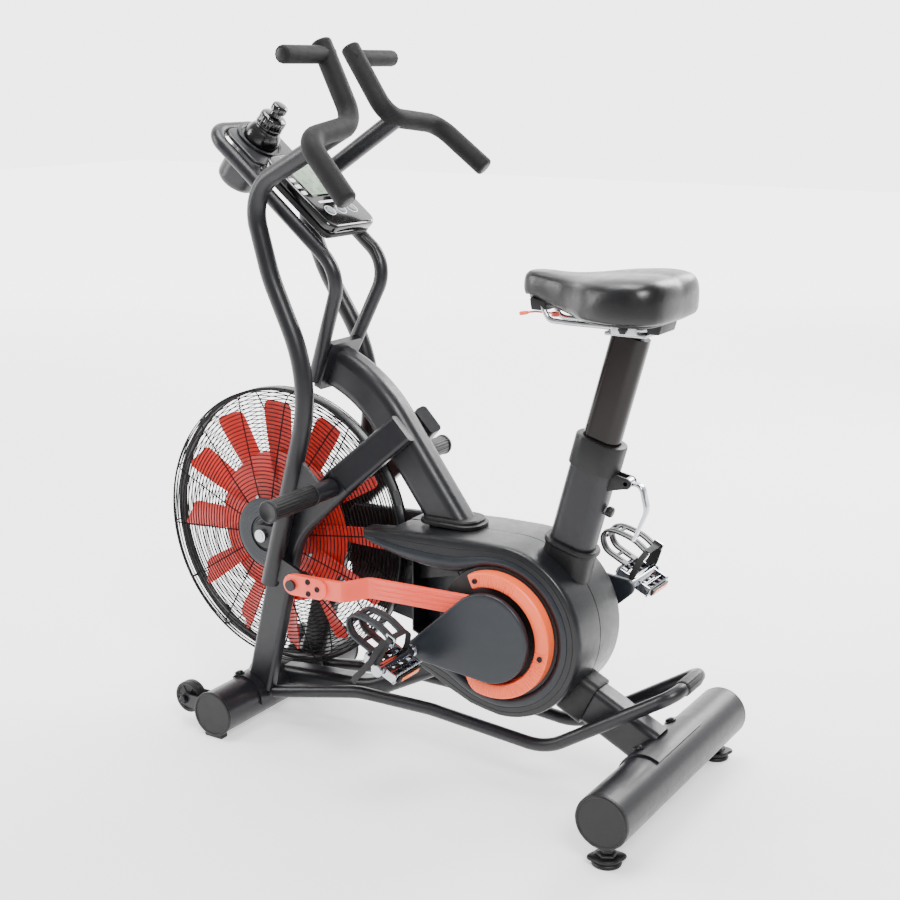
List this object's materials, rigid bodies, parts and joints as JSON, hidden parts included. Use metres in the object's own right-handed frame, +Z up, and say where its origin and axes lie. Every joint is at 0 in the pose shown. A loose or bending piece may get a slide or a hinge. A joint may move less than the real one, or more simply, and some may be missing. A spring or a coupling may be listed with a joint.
{
  "type": "air bike",
  "caption": "Upright fan bike with a caged air fan, pedal cranks, swinging arms with push rods, adjustable saddle, console, bottle tray and lift handle.",
  "frame": {"origin": "middle of the bounding box on the floor", "axes": "-X is the front where the fan is, +X the rear where the lift handle is, -Y the rider's left, +Z up"},
  "size_m": [1.209, 0.6218, 1.3743],
  "materials": {
    "frame_paint": "satin powder coat",
    "trim_plastic": "fine texture",
    "case_plastic": "satin moulded",
    "fan_wire": "gloss coated wire",
    "dark_bolts": "black oxide",
    "bright_steel": "turned",
    "chrome": "polished",
    "grip_rubber": "ribbed and foam",
    "wheel_plastic": "matte",
    "fan_red": "satin moulded",
    "link_coral": "satin powder coat",
    "crescent_orange": "satin moulded",
    "saddle_vinyl": "soft black vinyl",
    "console_gloss": "gloss black",
    "console_window": "grey-green display",
    "button_grey": "soft touch",
    "bottle_plastic": "smooth"
  },
  "bodies": {
    "frame": {"rear_foot_tube": "frame_paint", "front_foot_tube": "frame_paint", "foot_end_caps": "trim_plastic", "foot_brackets": "frame_paint", "foot_bolts": "dark_bolts", "fork_legs": "frame_paint", "frame_plates": "frame_paint", "spine": "frame_paint", "bottom_beam": "frame_paint", "rear_beam": "frame_paint", "seat_tube": "frame_paint", "frame_collars": "trim_plastic", "lift_rail": "frame_paint", "frame_grips": "grip_rubber", "pivot_axle": "bright_steel", "crank_housing": "frame_paint", "crank_bearings": "bright_steel", "case_left": "case_plastic", "case_right": "case_plastic", "case_screws": "dark_bolts", "crescent_guards": "crescent_orange", "fan_axle": "bright_steel", "fan_guards": "fan_wire", "hub_covers": "case_plastic", "drive_belt": "grip_rubber", "console_hoop": "frame_paint", "console_tray": "case_plastic", "console_body": "console_gloss", "console_lens": "console_window", "console_cable": "trim_plastic"},
    "foot_left": {"foot_left": "trim_plastic"},
    "foot_right": {"foot_right": "trim_plastic"},
    "wheel_left": {"wheel_left": "wheel_plastic"},
    "wheel_right": {"wheel_right": "wheel_plastic"},
    "post": {"seat_post": "chrome", "post_head": "trim_plastic"},
    "saddle": {"saddle_shell": "trim_plastic", "saddle_pad": "saddle_vinyl"},
    "saddle_lever": {"saddle_lever": "link_coral"},
    "quick_lever": {"quick_lever": "chrome"},
    "pull_knob": {"pull_knob": "trim_plastic"},
    "crank": {"crank_axle": "bright_steel", "crank_left": "case_plastic", "crank_right": "case_plastic", "drive_pulley": "bright_steel"},
    "pedal_left": {"pedal_left": "chrome"},
    "pedal_right": {"pedal_right": "chrome"},
    "fan": {"fan_wheel": "fan_red", "fan_pulley": "bright_steel"},
    "idler": {"idler": "bright_steel"},
    "arm_left": {"arm_left": "frame_paint", "handle_left": "grip_rubber"},
    "arm_right": {"arm_right": "frame_paint", "handle_right": "grip_rubber"},
    "link_left": {"link_left": "link_coral"},
    "link_right": {"link_right": "link_coral"},
    "button_left": {"button_left": "button_grey"},
    "button_middle": {"button_middle": "button_grey"},
    "button_right": {"button_right": "button_grey"},
    "bottle": {"bottle": "bottle_plastic"}
  },
  "joints": [
    {"name": "foot_left_turn", "type": "hinge", "parent": "frame", "child": "foot_left", "pos_m": [0.551, -0.24, 0.02], "axis": [0, 0, 1], "range_deg": [-180, 180]},
    {"name": "foot_right_turn", "type": "hinge", "parent": "frame", "child": "foot_right", "pos_m": [0.551, 0.24, 0.02], "axis": [0, 0, 1], "range_deg": [-180, 180]},
    {"name": "wheel_left_roll", "type": "hinge", "parent": "frame", "child": "wheel_left", "pos_m": [-0.431, -0.188, 0.06], "axis": [0, 1, 0], "continuous": true},
    {"name": "wheel_right_roll", "type": "hinge", "parent": "frame", "child": "wheel_right", "pos_m": [-0.431, 0.188, 0.06], "axis": [0, 1, 0], "continuous": true},
    {"name": "post_height", "type": "slide", "parent": "frame", "child": "post", "axis": [0.2588, 0, 0.9659], "range_m": [-0.15, 0.06]},
    {"name": "saddle_slide", "type": "slide", "parent": "post", "child": "saddle", "axis": [1, 0, 0], "range_m": [-0.02, 0.02]},
    {"name": "saddle_lever_turn", "type": "hinge", "parent": "saddle", "child": "saddle_lever", "pos_m": [0.305, 0, 0.89078], "axis": [0, 0, 1], "range_deg": [0, 35]},
    {"name": "quick_lever_open", "type": "hinge", "parent": "frame", "child": "quick_lever", "pos_m": [0.458, 0, 0.606], "axis": [0, -1, 0], "range_deg": [0, 100]},
    {"name": "pull_knob_travel", "type": "slide", "parent": "frame", "child": "pull_knob", "axis": [0.9659, 0, -0.2588], "range_m": [0, 0.008], "stiffness_N_per_m": 800},
    {"name": "crank_spin", "type": "hinge", "parent": "frame", "child": "crank", "pos_m": [0.241, 0, 0.306], "axis": [0, 1, 0], "continuous": true},
    {"name": "pedal_left_spin", "type": "hinge", "parent": "crank", "child": "pedal_left", "pos_m": [0.08026, 0, 0.25065], "axis": [0, 1, 0], "continuous": true},
    {"name": "pedal_right_spin", "type": "hinge", "parent": "crank", "child": "pedal_right", "pos_m": [0.40174, 0, 0.36135], "axis": [0, 1, 0], "continuous": true},
    {"name": "fan_spin", "type": "hinge", "parent": "frame", "child": "fan", "pos_m": [-0.3135, 0, 0.4], "axis": [0, 1, 0], "continuous": true},
    {"name": "idler_spin", "type": "hinge", "parent": "frame", "child": "idler", "pos_m": [-0.03909, 0, 0.33624], "axis": [0, 1, 0], "continuous": true},
    {"name": "left_arm_swing", "type": "hinge", "parent": "frame", "child": "arm_left", "pos_m": [-0.121, 0, 0.534], "axis": [0, 1, 0], "range_deg": [-18, 10]},
    {"name": "right_arm_swing", "type": "hinge", "parent": "frame", "child": "arm_right", "pos_m": [-0.121, 0, 0.534], "axis": [0, 1, 0], "range_deg": [-10, 18]},
    {"name": "left_link_turn", "type": "hinge", "parent": "arm_left", "child": "link_left", "pos_m": [-0.179, 0, 0.342], "axis": [0, 1, 0], "range_deg": [-10, 18]},
    {"name": "right_link_turn", "type": "hinge", "parent": "arm_right", "child": "link_right", "pos_m": [-0.15171, 0, 0.3358], "axis": [0, 1, 0], "range_deg": [-18, 10]},
    {"name": "button_left_press", "type": "slide", "parent": "frame", "child": "button_left", "axis": [-0.6293, 0, -0.7771], "range_m": [0, 0.0015], "stiffness_N_per_m": 300},
    {"name": "button_middle_press", "type": "slide", "parent": "frame", "child": "button_middle", "axis": [-0.6293, 0, -0.7771], "range_m": [0, 0.0015], "stiffness_N_per_m": 300},
    {"name": "button_right_press", "type": "slide", "parent": "frame", "child": "button_right", "axis": [-0.6293, 0, -0.7771], "range_m": [0, 0.0015], "stiffness_N_per_m": 300},
    {"name": "bottle_lift", "type": "slide", "parent": "frame", "child": "bottle", "axis": [0.6293, 0, 0.7771], "range_m": [0, 0.2]}
  ],
  "couplings": [
    {"joint": "fan_spin", "follows": "crank_spin", "ratio": 3.6364},
    {"joint": "idler_spin", "follows": "crank_spin", "ratio": 2.3529},
    {"joint": "right_arm_swing", "follows": "left_arm_swing", "ratio": -1},
    {"joint": "left_link_turn", "follows": "left_arm_swing", "ratio": -1},
    {"joint": "right_link_turn", "follows": "left_arm_swing", "ratio": 1}
  ]
}
